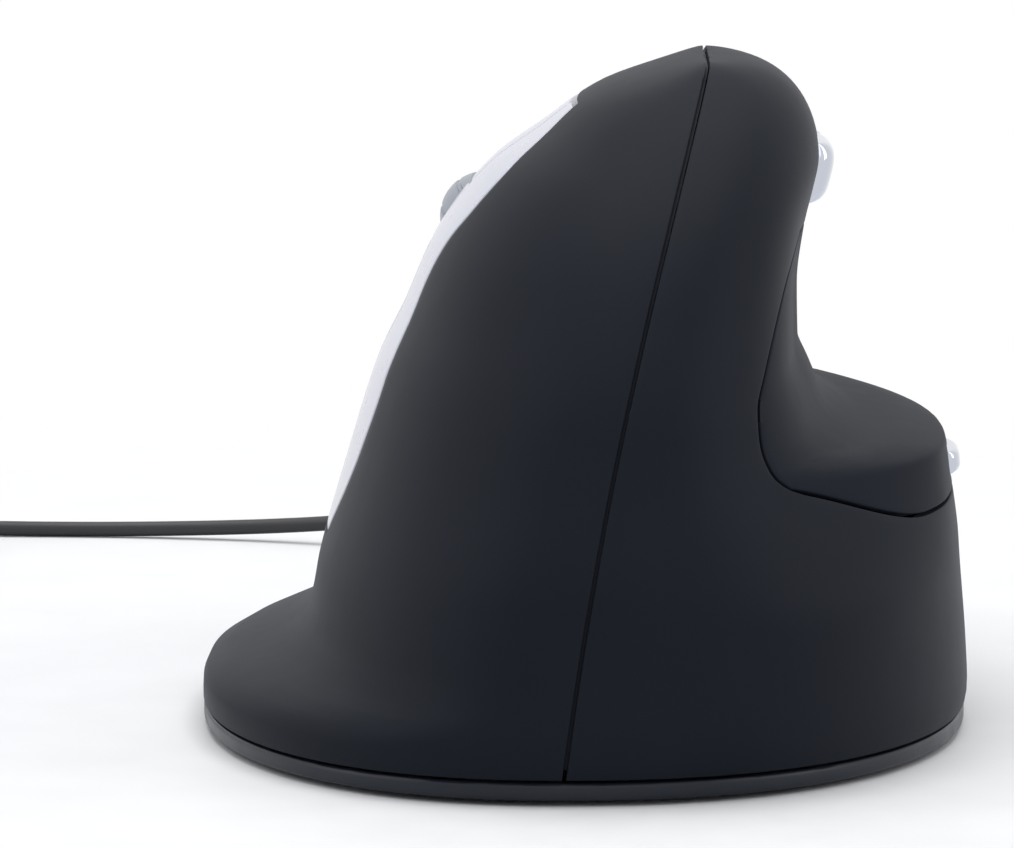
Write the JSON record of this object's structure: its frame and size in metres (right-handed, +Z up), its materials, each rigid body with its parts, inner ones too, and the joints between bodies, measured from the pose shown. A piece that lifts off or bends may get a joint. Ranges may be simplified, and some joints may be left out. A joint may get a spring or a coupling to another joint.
{
  "type": "vertical ergonomic mouse",
  "caption": "Upright left-hand computer mouse with leaning seam, thumb notch and shelf, pearl finger buttons with a scroll wheel, bright thumb buttons and a cord with a coil and plug.",
  "frame": {"origin": "on the table, under the middle of the body, the free cord left out", "axes": "+X to the thumb side, +Y to the cord end, +Z up"},
  "size_m": [0.1639, 0.1854, 0.0715],
  "materials": {
    "soft_black": "soft-touch matte",
    "rest_black": "soft-touch matte",
    "base_black": "matte",
    "silver_gloss": "glossy pearl",
    "bright_button": "polished",
    "wheel_grey": "satin",
    "inner_grey": "moulded",
    "steel": "drawn",
    "switch_black": "moulded",
    "board_green": "solder mask",
    "connector_ivory": "moulded",
    "wire_red": "smooth",
    "cord_black": "smooth",
    "glide_grey": "smooth",
    "lens_clear": "clear",
    "plug_metal": "plated",
    "tongue_white": "moulded"
  },
  "bodies": {
    "housing": {"base_plate": "base_black", "glide_feet": "glide_grey", "palm_shell": "soft_black", "thumb_shell": "soft_black", "thumb_rest": "rest_black", "finger_panel": "silver_gloss", "wheel_trim": "silver_gloss", "hinge_pins": "steel", "click_switches": "switch_black", "inner_frame": "inner_grey", "wheel_switch": "switch_black", "thumb_board": "board_green", "thumb_switches": "switch_black", "speed_board": "board_green", "speed_switch": "switch_black", "main_board": "board_green", "controller_chip": "switch_black", "optical_sensor": "switch_black", "sensor_lens": "lens_clear", "board_connector": "connector_ivory", "board_screws": "steel", "case_screws": "steel", "cord_anchor": "inner_grey", "lead_wires": "wire_red", "cord_tail": "cord_black", "strain_relief": "cord_black", "mouse_cord": "cord_black", "cord_coil": "cord_black", "cord_tie": "switch_black", "plug_lead": "cord_black", "plug_grip": "cord_black", "plug_shell": "plug_metal", "plug_tongue": "tongue_white"},
    "index_button": {"index_cap": "silver_gloss", "index_lever": "inner_grey"},
    "middle_button": {"middle_cap": "silver_gloss", "middle_lever": "inner_grey"},
    "wheel_carriage": {"wheel_carrier": "inner_grey", "scroll_encoder": "switch_black"},
    "scroll_wheel": {"wheel_hub": "wheel_grey", "wheel_tyre": "wheel_grey", "wheel_axle": "steel"},
    "forward_push": {"forward_button": "bright_button"},
    "back_push": {"back_button": "bright_button"},
    "speed_push": {"speed_button": "bright_button"}
  },
  "joints": [
    {"name": "index_press", "type": "hinge", "parent": "housing", "child": "index_button", "pos_m": [-0.00461, -0.00469, 0.05896], "axis": [-0.7751, 0, -0.6318], "range_deg": [0, 0.8], "stiffness_Nm_per_rad": 0.5},
    {"name": "middle_press", "type": "hinge", "parent": "housing", "child": "middle_button", "pos_m": [-0.01548, -0.01092, 0.04383], "axis": [-0.4122, 0, -0.9111], "range_deg": [0, 0.8], "stiffness_Nm_per_rad": 0.8},
    {"name": "wheel_click", "type": "slide", "parent": "housing", "child": "wheel_carriage", "axis": [0.8063, -0.148, -0.5728], "range_m": [0, 0.0005], "stiffness_N_per_m": 1500},
    {"name": "wheel_spin", "type": "hinge", "parent": "wheel_carriage", "child": "scroll_wheel", "pos_m": [-0.00631, 0.01461, 0.04906], "axis": [0.5634, -0.1034, 0.8197], "continuous": true},
    {"name": "forward_press", "type": "slide", "parent": "housing", "child": "forward_push", "axis": [-1, 0, 0], "range_m": [0, 0.0006], "stiffness_N_per_m": 900},
    {"name": "back_press", "type": "slide", "parent": "housing", "child": "back_push", "axis": [-1, 0, 0], "range_m": [0, 0.0006], "stiffness_N_per_m": 900},
    {"name": "speed_press", "type": "slide", "parent": "housing", "child": "speed_push", "axis": [-1, 0, 0], "range_m": [0, 0.0006], "stiffness_N_per_m": 900}
  ]
}
